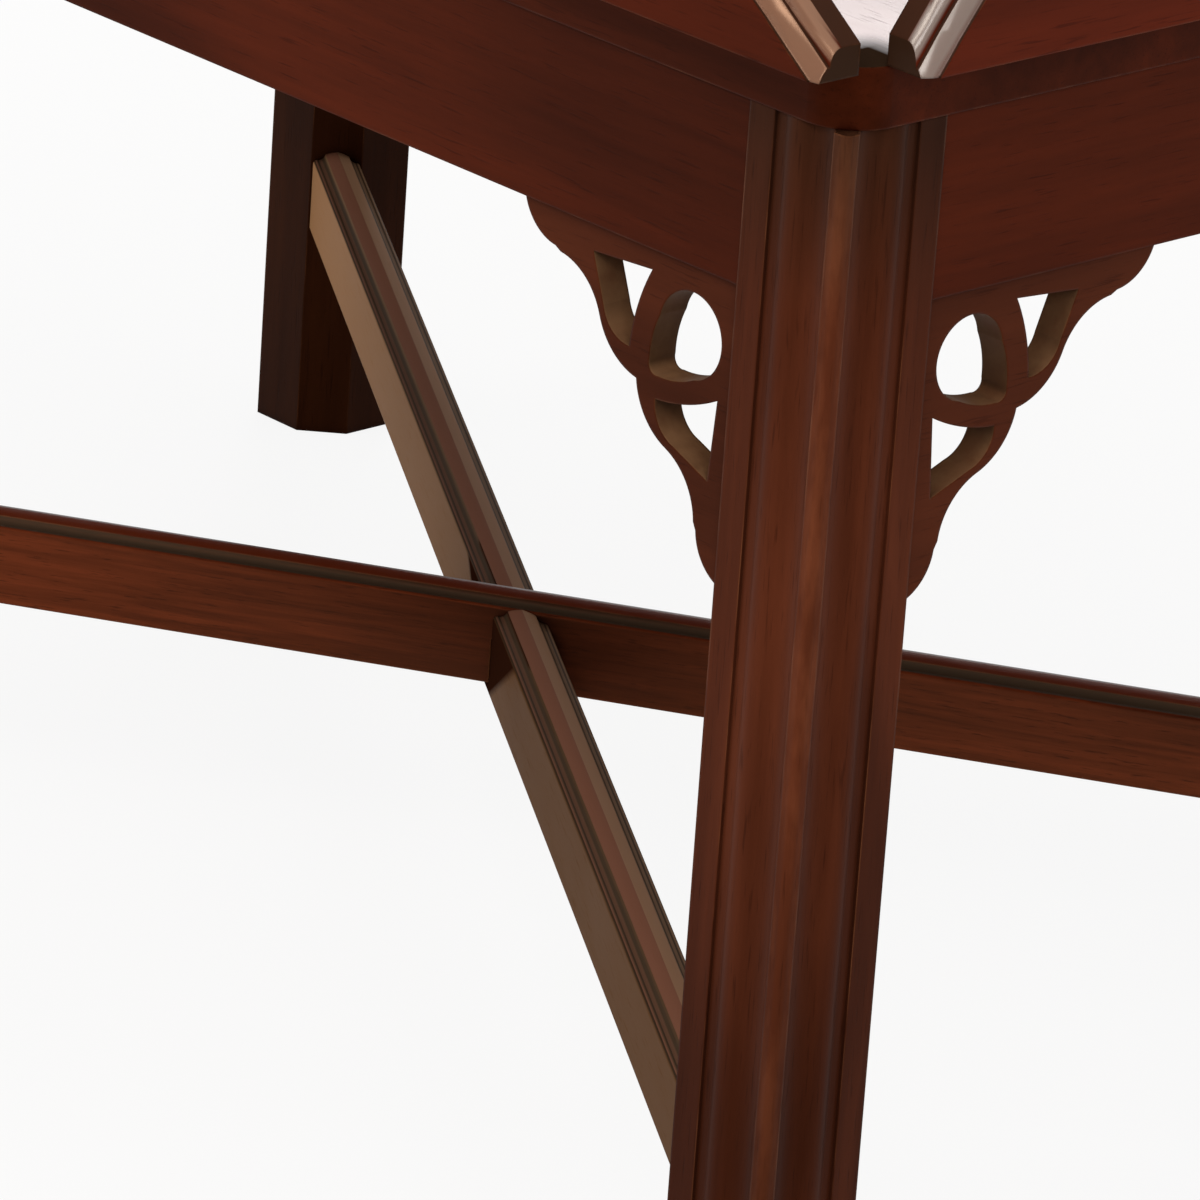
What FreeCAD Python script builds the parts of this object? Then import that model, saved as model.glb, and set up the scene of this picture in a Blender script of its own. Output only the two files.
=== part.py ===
import FreeCAD, Part
import math
import os
import Sketcher

doc = FreeCAD.newDocument("butlers_tray_table")

# All lengths are in millimetres.
size_table = (
    # stand
    ("stand_length", 849),
    ("stand_depth", 571),
    ("stand_height", 454.5),
    ("glue_gap", 0.1),
    # legs
    ("leg_width", 38),
    ("leg_chamfer", 14),
    ("leg_corner_radius", 2.5),
    ("leg_bead_width", 5),
    ("leg_quirk_depth", 1),
    ("leg_quirk_width", 3.5),
    ("leg_cove_width", 12),
    ("leg_cove_radius", 10),
    ("leg_reed_width", 7.5),
    ("leg_reed_radius", 9),
    # aprons
    ("apron_height", 54),
    ("apron_thickness", 19),
    ("apron_setback", 0.7),
    ("apron_tenon_thickness", 8),
    ("apron_tenon_length", 22),
    ("apron_tenon_shoulder", 8),
    # fret brackets
    ("bracket_thickness", 10),
    ("bracket_inset", 2.5),
    ("bracket_side_length", 90),
    ("bracket_step_outer_along", 76.3),
    ("bracket_step_outer_across", 11.6),
    ("bracket_step_inner_along", 74),
    ("bracket_step_inner_across", 12.8),
    ("bracket_wave_along", 56.5),
    ("bracket_wave_across", 26),
    ("bracket_cusp", 39.8),
    ("bracket_tip_radius", 16),
    ("bracket_cove_radius", 21),
    ("bracket_bulge_radius", 21.6),
    ("bracket_eye_drop", 0.8),
    ("bracket_eye_near", 11.1),
    ("bracket_eye_side_along", 32.6),
    ("bracket_eye_side_across", 17.7),
    ("bracket_eye_side_radius", 30),
    ("bracket_eye_point_along", 35.8),
    ("bracket_eye_point_across", 31.9),
    ("bracket_eye_point_radius", 3.2),
    ("bracket_strip_width", 6.7),
    ("bracket_piercing_near", 36.3),
    ("bracket_piercing_far", 60.5),
    ("bracket_piercing_far_across", 8.5),
    ("bracket_piercing_low_along", 43.5),
    ("bracket_piercing_low_across", 31.5),
    ("bracket_piercing_bend_along", 55),
    ("bracket_piercing_bend_across", 22.8),
    ("bracket_piercing_inner_radius", 60),
    ("bracket_piercing_round_radius", 11.5),
    ("bracket_tongue_start", 8),
    ("bracket_tongue_length", 60),
    ("bracket_tongue_thickness", 3),
    ("bracket_tongue_height", 4),
    # stretchers
    ("stretcher_width", 18),
    ("stretcher_bottom", 88.2),
    ("stretcher_drop", 3.5),
    ("stretcher_shoulder_height", 28),
    ("stretcher_arris_radius", 1.5),
    ("stretcher_cove_foot", 7),
    ("stretcher_cove_height", 2.4),
    ("stretcher_cove_radius", 3),
    ("stretcher_crown_half_width", 4.5),
    ("stretcher_crown_rise", 1.4),
    ("stretcher_crown_radius", 14),
    ("stretcher_end_allowance", 4),
    ("stretcher_lap_height", 16),
    ("stretcher_lap_reach", 60),
    ("stretcher_tenon_thickness", 8),
    ("stretcher_tenon_height", 20),
    ("stretcher_tenon_drop", 4),
    ("stretcher_tenon_length", 18),
    # glue blocks
    ("block_reach", 92),
    ("block_nose", 10),
    ("block_height", 32),
    ("block_lift", 2),
    # tray
    ("tray_overhang", 0.5),
    ("panel_thickness", 18),
    ("panel_corner_radius", 16),
    ("batten_width", 25),
    ("batten_thickness", 14),
    ("batten_clearance", 1.5),
    ("batten_screw_margin", 47),
    ("batten_screw_head_radius", 4),
    ("batten_screw_head_depth", 3),
    ("batten_screw_shank_radius", 2),
    ("batten_screw_length", 24),
    # flaps
    ("flap_thickness", 16),
    ("flap_rise", 150),
    ("flap_gap", 0.4),
    ("flap_end_height", 9),
    ("long_flap_overrun", 2.5),
    ("short_flap_setback", 13),
    ("moulding_face_width", 9),
    ("moulding_face_depth", 0.8),
    ("moulding_bevel_width", 5),
    ("moulding_bevel_depth", 4),
    ("moulding_bevel_radius", 9),
    ("moulding_quirk_depth", 1),
    ("moulding_round_radius", 4),
    ("hand_hole_length", 96),
    ("hand_hole_height", 28),
    ("hand_hole_centre", 89),
    # hinges
    ("long_hinge_offset", 262),
    ("short_hinge_offset", 160),
    ("leaf_length", 36),
    ("leaf_width", 32),
    ("leaf_thickness", 1.8),
    ("leaf_clearance", 0.15),
    ("knuckle_radius", 3),
    ("knuckle_length", 10),
    ("knuckle_gap", 0.3),
    ("knuckle_clearance", 0.4),
    ("pin_radius", 1.5),
    ("pin_clearance", 0.05),
    ("leaf_screw_near", 13),
    ("leaf_screw_far", 27),
    ("leaf_screw_spread", 10),
    ("leaf_screw_head_radius", 3),
    ("leaf_screw_head_depth", 1.6),
    ("leaf_screw_shank_radius", 1.3),
    ("leaf_screw_length", 12),
    ("screw_clearance", 0.1),
    ("screw_slot_width", 0.9),
    ("screw_slot_depth", 0.8),
    # extra length that takes a cutting shape clear of the surface
    ("cut_margin", 2),
)

sheet = doc.addObject("Spreadsheet::Sheet", "sizes")
for row, (alias, number) in enumerate(size_table, start=1):
    sheet.set(f"A{row}", alias)
    sheet.set(f"B{row}", str(number))
    sheet.setAlias(f"B{row}", alias)
doc.recompute()


class Size:
    """A number together with the sheet expression that drives it."""

    def __init__(self, value, text):
        self.value = float(value)
        self.text = text

    def __add__(self, other):
        other = as_size(other)
        return Size(self.value + other.value, f"({self.text} + {other.text})")

    def __sub__(self, other):
        other = as_size(other)
        return Size(self.value - other.value, f"({self.text} - {other.text})")

    def __mul__(self, other):
        other = as_size(other)
        return Size(self.value * other.value, f"({self.text} * {other.text})")

    def __truediv__(self, other):
        other = as_size(other)
        return Size(self.value / other.value, f"({self.text} / {other.text})")

    def __neg__(self):
        return Size(-self.value, f"(0 - {self.text})")


def as_size(thing):
    if isinstance(thing, Size):
        return thing
    return Size(thing, str(thing))


def square_root(size):
    return Size(math.sqrt(size.value), f"sqrt({size.text})")


def arc_tangent(size):
    return Size(math.degrees(math.atan(size.value)), f"atan({size.text})")


def degrees(number):
    return Size(number, f"{number} deg")


class Sheet:
    """Reads a size from the sheet by its name."""

    def __getattr__(self, alias):
        return Size(sheet.get(alias), f"sizes.{alias}")


s = Sheet()
nothing = as_size(0)
upright = FreeCAD.Vector(0, 0, 1)
no_turn = FreeCAD.Rotation()
stand_up = FreeCAD.Rotation(FreeCAD.Vector(1, 0, 0), 90)
lie_along_x = FreeCAD.Rotation(FreeCAD.Vector(0, 1, 0), 90)
lie_along_y = FreeCAD.Rotation(FreeCAD.Vector(1, 0, 0), -90)
nodes = []


def bind(item, path, size):
    item.setExpression(path, as_size(size).text)


def place(item, at, rotation=no_turn):
    at = [as_size(part) for part in at]
    item.Placement = FreeCAD.Placement(FreeCAD.Vector(*[part.value for part in at]), rotation)
    for axis, part in zip("xyz", at):
        bind(item, f"Placement.Base.{axis}", part)
    return item


def box(name, at, length, width, height):
    item = doc.addObject("Part::Box", name)
    bind(item, "Length", length)
    bind(item, "Width", width)
    bind(item, "Height", height)
    return place(item, at)


def cylinder(name, at, radius, height, rotation=no_turn):
    item = doc.addObject("Part::Cylinder", name)
    bind(item, "Radius", radius)
    bind(item, "Height", height)
    return place(item, at, rotation)


def cone(name, at, bottom_radius, top_radius, height):
    item = doc.addObject("Part::Cone", name)
    bind(item, "Radius1", bottom_radius)
    bind(item, "Radius2", top_radius)
    bind(item, "Height", height)
    return place(item, at)


def fuse(name, pieces):
    item = doc.addObject("Part::MultiFuse", name)
    item.Shapes = pieces
    item.Refine = True
    return item


def cut(name, base, tool):
    item = doc.addObject("Part::Cut", name)
    item.Base = base
    item.Tool = tool
    return item


def group(name, pieces):
    item = doc.addObject("Part::Compound", name)
    item.Links = pieces
    return item


def turned_group(name, pieces, angle):
    """A group turned about the vertical through the origin by a bound angle."""
    item = group(name, pieces)
    item.Placement = FreeCAD.Placement(FreeCAD.Vector(), FreeCAD.Rotation(upright, angle.value))
    bind(item, "Placement.Rotation.Angle", angle)
    return item


def arc_between(here, there, radius, side):
    middle = (here + there) * 0.5
    half = (there - here) * 0.5
    reach = math.sqrt(max(radius ** 2 - half.Length ** 2, 0))
    across = FreeCAD.Vector(-half.y, half.x, 0).normalize()
    centre = middle + across * (reach if side == "left" else -reach)
    first, last = (here, there) if side == "left" else (there, here)
    start = math.atan2(first.y - centre.y, first.x - centre.x)
    finish = math.atan2(last.y - centre.y, last.x - centre.x)
    if finish < start:
        finish += 2 * math.pi
    return Part.ArcOfCircle(Part.Circle(centre, upright, radius), start, finish)


def lock_coordinate(sketch, kind, axis, edge, end, size):
    """Hold one coordinate of an edge's end at a sheet size."""
    if abs(size.value) < 1e-9:
        sketch.addConstraint(Sketcher.Constraint("PointOnObject", edge, end, axis))
        return
    if size.value > 0:
        lock = Sketcher.Constraint(kind, -1, 1, edge, end, size.value)
    else:
        size = -size
        lock = Sketcher.Constraint(kind, edge, end, -1, 1, size.value)
    index = sketch.addConstraint(lock)
    sketch.setExpression(f"Constraints[{index}]", size.text)


def draw_loop(sketch, corners):
    """Draw a closed outline. A corner is (x, y), or (x, y, radius, side) where the edge that
    leaves it is an arc with its centre on that side of the direction of travel."""
    points = [FreeCAD.Vector(as_size(corner[0]).value, as_size(corner[1]).value, 0) for corner in corners]
    ends = []
    for index, corner in enumerate(corners):
        here = points[index]
        there = points[(index + 1) % len(corners)]
        if len(corner) == 2:
            edge = sketch.addGeometry(Part.LineSegment(here, there))
            ends.append((edge, 1, 2))
            continue
        radius, side = corner[2:]
        edge = sketch.addGeometry(arc_between(here, there, radius.value, side))
        ends.append((edge, 1, 2) if side == "left" else (edge, 2, 1))
    for index, (edge, start, finish) in enumerate(ends):
        following = ends[(index + 1) % len(ends)]
        sketch.addConstraint(Sketcher.Constraint("Coincident", edge, finish, following[0], following[1]))
    for corner, (edge, start, finish) in zip(corners, ends):
        lock_coordinate(sketch, "DistanceX", -2, edge, start, as_size(corner[0]))
        lock_coordinate(sketch, "DistanceY", -1, edge, start, as_size(corner[1]))
        if len(corner) > 2:
            lock = sketch.addConstraint(Sketcher.Constraint("Radius", edge, corner[2].value))
            sketch.setExpression(f"Constraints[{lock}]", corner[2].text)


def new_sketch(body, name, role):
    sketch = body.newObject("Sketcher::SketchObject", name)
    plane = [feature for feature in body.Origin.OriginFeatures if feature.Role == role][0]
    sketch.AttachmentSupport = (plane, [""])
    sketch.MapMode = "FlatFace"
    return sketch


def padded_body(name, loops, thickness):
    """A body drawn in its ground plane and raised by its thickness."""
    body = doc.addObject("PartDesign::Body", name)
    sketch = new_sketch(body, name + "_outline", "XY_Plane")
    for loop in loops:
        draw_loop(sketch, loop)
    pad = body.newObject("PartDesign::Pad", name + "_pad")
    pad.Profile = sketch
    bind(pad, "Length", thickness)
    body.Tip = pad
    return body, sketch


def keep(item):
    """Count a finished piece as a node of the assembly."""
    item.Label = item.Name
    nodes.append(item)
    return item


def quarter_turned(quarter, x, y):
    x, y = as_size(x), as_size(y)
    for _ in range(quarter):
        x, y = -y, x
    return x, y


def about_vertical(quarter):
    return FreeCAD.Rotation(upright, 90 * quarter)


# Corners and sides are counted in quarter turns about the vertical.
corner_names = ("front_left", "front_right", "back_right", "back_left")
side_names = ("front", "right", "back", "left")
half_length = s.stand_length / 2
half_depth = s.stand_depth / 2


def corner_point(quarter, x, y, z):
    """A place given inward from the outer corner of one leg."""
    out_x = half_length if quarter in (1, 2) else -half_length
    out_y = half_depth if quarter in (2, 3) else -half_depth
    in_x, in_y = quarter_turned(quarter, x, y)
    return out_x + in_x, out_y + in_y, z


def side_reach(quarter):
    """Distance from the middle of the table to the outer face of one side of the stand."""
    return half_depth if quarter % 2 == 0 else half_length


def side_half_length(quarter):
    return half_length if quarter % 2 == 0 else half_depth


def side_point(quarter, x, y, z):
    """A place given along one side and inward from its outer face."""
    in_x, in_y = quarter_turned(quarter, x, as_size(y) - side_reach(quarter))
    return in_x, in_y, z


# Legs: one moulded section serves all four corners.
apron_bottom = s.stand_height - s.apron_height
bead_end = s.leg_bead_width
cove_end = bead_end + s.leg_cove_width
reed_end = cove_end + s.leg_reed_width
band_start = reed_end + s.leg_quirk_width
leg_section = [
    (s.leg_corner_radius, nothing),
    (bead_end, nothing),
    (bead_end, s.leg_quirk_depth, s.leg_cove_radius, "right"),
    (cove_end, s.leg_quirk_depth, s.leg_reed_radius, "left"),
    (reed_end, s.leg_quirk_depth),
    (band_start, s.leg_quirk_depth),
    (band_start, nothing),
    (s.leg_width, nothing),
    (s.leg_width, s.leg_width - s.leg_chamfer),
    (s.leg_width - s.leg_chamfer, s.leg_width),
    (nothing, s.leg_width),
    (nothing, band_start),
    (s.leg_quirk_depth, band_start),
    (s.leg_quirk_depth, reed_end, s.leg_reed_radius, "left"),
    (s.leg_quirk_depth, cove_end, s.leg_cove_radius, "right"),
    (s.leg_quirk_depth, bead_end),
    (nothing, bead_end),
    (nothing, s.leg_corner_radius, s.leg_corner_radius, "left"),
]
leg_blank, leg_sketch = padded_body("leg_blank", [leg_section], s.stand_height)

apron_tenon_start = s.apron_setback + (s.apron_thickness - s.apron_tenon_thickness) / 2
apron_tenon_height = s.apron_height - s.apron_tenon_shoulder * 2
mortise_depth = s.apron_tenon_length + s.glue_gap
mortise_start = s.leg_width - mortise_depth
mortise_width = s.apron_tenon_thickness + s.glue_gap * 2
mortise_bottom = apron_bottom + s.apron_tenon_shoulder - s.glue_gap
mortise_height = apron_tenon_height + s.glue_gap * 2

# The stretchers meet each leg in the middle of its inner chamfer.
chamfer_middle = s.leg_width - s.leg_chamfer / 2
stretcher_run_x = s.stand_length - chamfer_middle * 2
stretcher_run_y = s.stand_depth - chamfer_middle * 2
stretcher_angle = arc_tangent(stretcher_run_y / stretcher_run_x)
lower_bar_bottom = s.stretcher_bottom - s.stretcher_drop


def leg(quarter):
    name = "leg_" + corner_names[quarter]
    across = apron_tenon_start - s.glue_gap
    along_x = box(name + "_mortise_x", (mortise_start, across, mortise_bottom),
                  mortise_depth + s.cut_margin, mortise_width, mortise_height)
    along_y = box(name + "_mortise_y", (across, mortise_start, mortise_bottom),
                  mortise_width, mortise_depth + s.cut_margin, mortise_height)
    takes_upper_bar = quarter % 2 == 0
    bar_bottom = s.stretcher_bottom if takes_upper_bar else lower_bar_bottom
    half_width = s.stretcher_tenon_thickness / 2 + s.glue_gap
    slot_depth = s.stretcher_tenon_length + s.glue_gap
    slot = box(name + "_stretcher_slot",
               (-slot_depth, -half_width, bar_bottom + s.stretcher_tenon_drop - s.glue_gap),
               slot_depth + s.cut_margin, half_width * 2, s.stretcher_tenon_height + s.glue_gap * 2)
    angle = stretcher_angle if takes_upper_bar else degrees(90) - stretcher_angle
    mortise = turned_group(name + "_stretcher_mortise", [slot], angle)
    bind(mortise, "Placement.Base.x", chamfer_middle)
    bind(mortise, "Placement.Base.y", chamfer_middle)
    item = cut(name, leg_blank, fuse(name + "_mortises", [along_x, along_y, mortise]))
    return keep(place(item, corner_point(quarter, 0, 0, 0), about_vertical(quarter)))


for quarter in range(4):
    leg(quarter)


# Aprons: tenoned into the legs, grooved below for the tongues of the brackets.
def apron(quarter):
    name = "apron_" + side_names[quarter]
    half = side_half_length(quarter) - s.leg_width
    rail = box(name + "_rail", (-half, s.apron_setback, apron_bottom),
               half * 2, s.apron_thickness, s.apron_height)
    half_with_tenons = half + s.apron_tenon_length
    tenon_bottom = apron_bottom + s.apron_tenon_shoulder
    tenons = box(name + "_tenons", (-half_with_tenons, apron_tenon_start, tenon_bottom),
                 half_with_tenons * 2, s.apron_tenon_thickness, apron_tenon_height)
    groove_width = s.bracket_tongue_thickness + s.glue_gap * 2
    groove_across = s.bracket_inset + (s.bracket_thickness - groove_width) / 2
    groove_length = s.bracket_tongue_length + s.glue_gap * 2
    groove_height = s.bracket_tongue_height + s.glue_gap + s.cut_margin
    first = s.bracket_tongue_start - s.glue_gap - half
    last = half - s.bracket_tongue_start - s.bracket_tongue_length - s.glue_gap
    grooves = [box(f"{name}_groove_{end}", (start, groove_across, apron_bottom - s.cut_margin),
                   groove_length, groove_width, groove_height)
               for end, start in (("first", first), ("last", last))]
    item = cut(name, fuse(name + "_blank", [rail, tenons]), fuse(name + "_grooves", grooves))
    return keep(place(item, side_point(quarter, 0, 0, 0), about_vertical(quarter)))


for quarter in range(4):
    apron(quarter)


# Fret brackets: outline and piercings are symmetric about the diagonal of the corner.
bracket_outline = [
    (nothing, nothing),
    (s.bracket_side_length, nothing, s.bracket_tip_radius, "right"),
    (s.bracket_step_outer_along, -s.bracket_step_outer_across),
    (s.bracket_step_inner_along, -s.bracket_step_inner_across, s.bracket_cove_radius, "left"),
    (s.bracket_wave_along, -s.bracket_wave_across, s.bracket_bulge_radius, "right"),
    (s.bracket_cusp, -s.bracket_cusp, s.bracket_bulge_radius, "right"),
    (s.bracket_wave_across, -s.bracket_wave_along, s.bracket_cove_radius, "left"),
    (s.bracket_step_inner_across, -s.bracket_step_inner_along),
    (s.bracket_step_outer_across, -s.bracket_step_outer_along, s.bracket_tip_radius, "right"),
    (nothing, -s.bracket_side_length),
]
upper_piercing = [
    (s.bracket_piercing_far, -s.bracket_piercing_far_across),
    (s.bracket_piercing_near, -s.bracket_strip_width, s.bracket_piercing_inner_radius, "right"),
    (s.bracket_piercing_low_along, -s.bracket_piercing_low_across, s.bracket_piercing_round_radius, "left"),
    (s.bracket_piercing_bend_along, -s.bracket_piercing_bend_across),
]
lower_piercing = [
    (s.bracket_piercing_far_across, -s.bracket_piercing_far),
    (s.bracket_strip_width, -s.bracket_piercing_near, s.bracket_piercing_inner_radius, "left"),
    (s.bracket_piercing_low_across, -s.bracket_piercing_low_along, s.bracket_piercing_round_radius, "right"),
    (s.bracket_piercing_bend_across, -s.bracket_piercing_bend_along),
]
# The pear-shaped eye is round towards the corner and blunt towards the cusp.
eye_near = s.bracket_eye_near
eye_along = s.bracket_eye_side_along
eye_across = s.bracket_eye_side_across
eye_squares = eye_along * eye_along + eye_across * eye_across - eye_near * eye_near * 2
eye_centre = eye_squares / ((eye_along + eye_across) * 2 - eye_near * 4)
eye_radius = (eye_centre - eye_near) * square_root(as_size(2))


def eye_point(along, across):
    return along - s.bracket_eye_drop, -(across + s.bracket_eye_drop)


eye = [
    (*eye_point(eye_near, eye_near), eye_radius, "right"),
    (*eye_point(eye_along, eye_across), s.bracket_eye_side_radius, "right"),
    (*eye_point(s.bracket_eye_point_along, s.bracket_eye_point_across), s.bracket_eye_point_radius, "right"),
    (*eye_point(s.bracket_eye_point_across, s.bracket_eye_point_along), s.bracket_eye_side_radius, "right"),
    (*eye_point(eye_across, eye_along), eye_radius, "right"),
]
bracket_blank, bracket_sketch = padded_body(
    "bracket_blank", [bracket_outline, upper_piercing, lower_piercing, eye], s.bracket_thickness)
bracket_tongue = box(
    "bracket_tongue",
    (s.bracket_tongue_start, -s.cut_margin, (s.bracket_thickness - s.bracket_tongue_thickness) / 2),
    s.bracket_tongue_length, s.bracket_tongue_height + s.cut_margin, s.bracket_tongue_thickness)


def bracket(name, quarter, at, facing):
    item = fuse(name, [bracket_blank, bracket_tongue])
    return keep(place(item, corner_point(quarter, *at), about_vertical(quarter + facing) * stand_up))


for quarter, corner in enumerate(corner_names):
    first_side = side_names[quarter]
    second_side = side_names[quarter - 1]
    first_end = side_names[quarter - 1]
    second_end = side_names[quarter]
    bracket(f"bracket_{first_side}_{first_end}", quarter,
            (s.leg_width, s.bracket_inset + s.bracket_thickness, apron_bottom), 0)
    bracket(f"bracket_{second_side}_{second_end}", quarter,
            (s.bracket_inset, s.leg_width, apron_bottom), 1)


# Stretchers: two moulded diagonals, half lapped where they cross.
stretcher_half_width = s.stretcher_width / 2
arris_inner = stretcher_half_width - s.stretcher_arris_radius
arris_bottom = s.stretcher_shoulder_height - s.stretcher_arris_radius
crown_bottom = s.stretcher_shoulder_height + s.stretcher_cove_height
stretcher_height = crown_bottom + s.stretcher_crown_rise
stretcher_section = [
    (-stretcher_half_width, nothing),
    (stretcher_half_width, nothing),
    (stretcher_half_width, arris_bottom, s.stretcher_arris_radius, "left"),
    (arris_inner, s.stretcher_shoulder_height),
    (s.stretcher_cove_foot, s.stretcher_shoulder_height, s.stretcher_cove_radius, "right"),
    (s.stretcher_crown_half_width, crown_bottom, s.stretcher_crown_radius, "left"),
    (nothing, stretcher_height, s.stretcher_crown_radius, "left"),
    (-s.stretcher_crown_half_width, crown_bottom, s.stretcher_cove_radius, "right"),
    (-s.stretcher_cove_foot, s.stretcher_shoulder_height),
    (-arris_inner, s.stretcher_shoulder_height, s.stretcher_arris_radius, "left"),
    (-stretcher_half_width, arris_bottom),
]
shoulder_span = square_root(stretcher_run_x * stretcher_run_x + stretcher_run_y * stretcher_run_y)
blank_span = shoulder_span + s.stretcher_end_allowance * 2
stretcher_blank, stretcher_sketch = padded_body("stretcher_blank", [stretcher_section], blank_span)
place(stretcher_blank, (-blank_span / 2, 0, 0), FreeCAD.Rotation(FreeCAD.Vector(1, 1, 1), 120))
upper_angle = stretcher_angle
lower_angle = degrees(180) - stretcher_angle


def stretcher(name, angle, other_angle, leg_quarters, bar_bottom, notch_bottom, notch_height):
    bar = turned_group(name + "_bar", [stretcher_blank], angle)
    bind(bar, "Placement.Base.z", bar_bottom)
    legs = [place(group(f"{name}_leg_{quarter}", [leg_blank]), corner_point(quarter, 0, 0, 0),
                  about_vertical(quarter))
            for quarter in leg_quarters]
    coped = cut(name + "_coped", bar, fuse(name + "_legs", legs))
    tenon_root = s.stretcher_end_allowance + s.cut_margin
    tenon_length = s.stretcher_tenon_length + tenon_root
    first = -shoulder_span / 2 - s.stretcher_tenon_length
    last = shoulder_span / 2 - tenon_root
    tenons = [box(f"{name}_tenon_{end}",
                  (start, -s.stretcher_tenon_thickness / 2, bar_bottom + s.stretcher_tenon_drop),
                  tenon_length, s.stretcher_tenon_thickness, s.stretcher_tenon_height)
              for end, start in (("first", first), ("last", last))]
    whole = fuse(name + "_whole", [coped, turned_group(name + "_tenons", tenons, angle)])
    notch_half_width = stretcher_half_width + s.glue_gap
    notch = box(name + "_notch", (-s.stretcher_lap_reach, -notch_half_width, notch_bottom),
                s.stretcher_lap_reach * 2, notch_half_width * 2, notch_height)
    return keep(cut(name, whole, turned_group(name + "_lap", [notch], other_angle)))


lap_level = s.stretcher_bottom + s.stretcher_lap_height
stretcher("stretcher_upper", upper_angle, lower_angle, (0, 2), s.stretcher_bottom,
          lower_bar_bottom - s.cut_margin, lap_level - lower_bar_bottom + s.cut_margin)
stretcher("stretcher_lower", lower_angle, upper_angle, (1, 3), lower_bar_bottom,
          lap_level, stretcher_height - s.stretcher_lap_height + s.cut_margin)


# Glue blocks: fitted round the inner corner of each leg, between the aprons.
apron_inner = s.apron_setback + s.apron_thickness
chamfer_start = s.leg_width - s.leg_chamfer
block_outline = [
    (s.leg_width, apron_inner),
    (s.block_reach, apron_inner),
    (s.block_reach, apron_inner + s.block_nose),
    (apron_inner + s.block_nose, s.block_reach),
    (apron_inner, s.block_reach),
    (apron_inner, s.leg_width),
    (chamfer_start, s.leg_width),
    (s.leg_width, chamfer_start),
]
for quarter, corner in enumerate(corner_names):
    block, block_sketch = padded_body("glue_block_" + corner, [block_outline], s.block_height)
    keep(place(block, corner_point(quarter, 0, 0, apron_bottom + s.block_lift), about_vertical(quarter)))


# Screws and their holes point down from the head and are turned into place.
def screw(name, at, rotation, head_radius, head_depth, shank_radius, length, slack):
    head = cone(name + "_head", (0, 0, -head_depth), shank_radius + slack, head_radius + slack, head_depth)
    shank = cylinder(name + "_shank", (0, 0, -length - slack), shank_radius + slack,
                     length - head_depth + slack)
    whole = fuse(name + "_whole", [head, shank])
    if slack is nothing:
        slot = box(name + "_slot", (-head_radius, -s.screw_slot_width / 2, -s.screw_slot_depth),
                   head_radius * 2, s.screw_slot_width, s.screw_slot_depth + s.cut_margin)
        whole = cut(name, whole, slot)
    return place(whole, at, rotation)


def leaf_screw(name, at, rotation, slack):
    return screw(name, at, rotation, s.leaf_screw_head_radius, s.leaf_screw_head_depth,
                 s.leaf_screw_shank_radius, s.leaf_screw_length, slack)


def batten_screw(name, at, slack):
    head_up = FreeCAD.Rotation(FreeCAD.Vector(1, 0, 0), 180)
    return screw(name, at, head_up, s.batten_screw_head_radius, s.batten_screw_head_depth,
                 s.batten_screw_shank_radius, s.batten_screw_length, slack)


# Hinges: the pin lies on the top arris of the panel, so an open flap is level with the tray.
bore_radius = s.pin_radius + s.pin_clearance
recess_radius = s.knuckle_radius + s.knuckle_clearance
half_leaf = s.leaf_width / 2
outer_knuckle_start = s.knuckle_length / 2 + s.knuckle_gap
outer_knuckle_length = half_leaf - outer_knuckle_start
half_recess = half_leaf + s.leaf_clearance
screw_places = (("near_first", -s.leaf_screw_spread, s.leaf_screw_near),
                ("near_last", s.leaf_screw_spread, s.leaf_screw_near),
                ("far", nothing, s.leaf_screw_far))
base_knuckles = (("first", -half_leaf, outer_knuckle_length),
                 ("last", outer_knuckle_start, outer_knuckle_length))
flap_knuckles = (("middle", -s.knuckle_length / 2, s.knuckle_length),)


def leaf(name, middle, knuckles, stands):
    """One leaf lying in the panel, or standing in the flap, with its barrel on the pin."""
    def slab(part, x, near, length, width):
        if stands:
            return box(f"{name}_{part}", (middle + x, -s.leaf_thickness, near),
                       width, s.leaf_thickness, length)
        return box(f"{name}_{part}", (middle + x, near, -s.leaf_thickness),
                   width, length, s.leaf_thickness)

    pieces = [slab("plate", -half_leaf, recess_radius, s.leaf_length - recess_radius, s.leaf_width)]
    for end, start, length in knuckles:
        pieces.append(slab("tab_" + end, start, nothing, recess_radius, length))
        pieces.append(cylinder(f"{name}_barrel_{end}", (middle + start, 0, 0), s.knuckle_radius, length,
                               lie_along_x))
    bore = cylinder(name + "_bore", (middle - half_leaf - s.cut_margin, 0, 0), bore_radius,
                    s.leaf_width + s.cut_margin * 2, lie_along_x)
    holes = leaf_screws(name + "_hole", middle, stands, s.screw_clearance)
    return cut(name, fuse(name + "_blank", pieces), fuse(name + "_openings", [bore] + holes))


def leaf_screws(name, middle, stands, slack):
    screws = []
    for label, along, away in screw_places:
        at = (middle + along, 0, away) if stands else (middle + along, away, 0)
        rotation = lie_along_y if stands else no_turn
        screws.append(leaf_screw(f"{name}_{label}", at, rotation, slack))
    return screws


def leaf_recess(name, middle, stands):
    """The space a hinge takes out of the panel or the flap."""
    barrel = cylinder(name + "_barrel", (middle - half_recess, 0, 0), recess_radius, half_recess * 2,
                      lie_along_x)
    length = s.leaf_length + s.leaf_clearance
    if stands:
        bed = box(name + "_bed", (middle - half_recess, -s.leaf_thickness, 0),
                  half_recess * 2, s.leaf_thickness, length)
    else:
        bed = box(name + "_bed", (middle - half_recess, 0, -s.leaf_thickness),
                  half_recess * 2, length, s.leaf_thickness)
    return [barrel, bed] + leaf_screws(name + "_screw", middle, stands, s.screw_clearance)


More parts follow.
